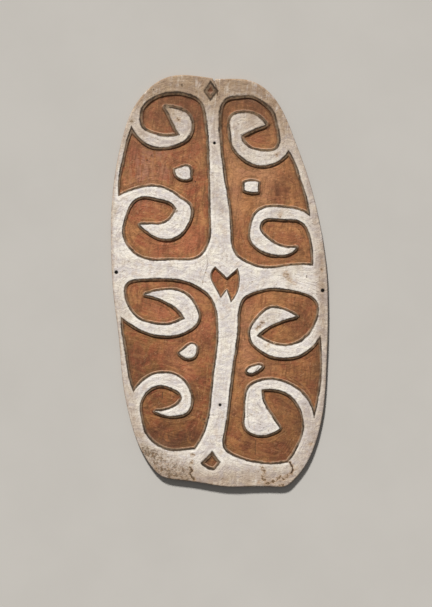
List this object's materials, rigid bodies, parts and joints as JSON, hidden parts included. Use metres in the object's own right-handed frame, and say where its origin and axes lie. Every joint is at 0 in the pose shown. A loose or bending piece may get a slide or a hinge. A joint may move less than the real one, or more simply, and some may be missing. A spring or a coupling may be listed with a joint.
{
  "type": "carved wooden shield",
  "caption": "Tall oval carved wooden shield, flat on the back, with raised white bands, curled hooks and sunken ochre fields in dark outlines, and cord holes.",
  "frame": {"origin": "under the middle of the board's box, on the flat back, which lies on the floor", "axes": "+Y to the shield's top end, +X to its right as seen from the carved front, +Z out of the carved front"},
  "size_m": [0.7396, 1.4024, 0.022],
  "materials": {
    "painted_wood": "matt lime white, red-brown ochre and charcoal paint, worn, with bare wood on the sides and back"
  },
  "bodies": {
    "root": {"shield_board": "painted_wood"}
  },
  "joints": []
}
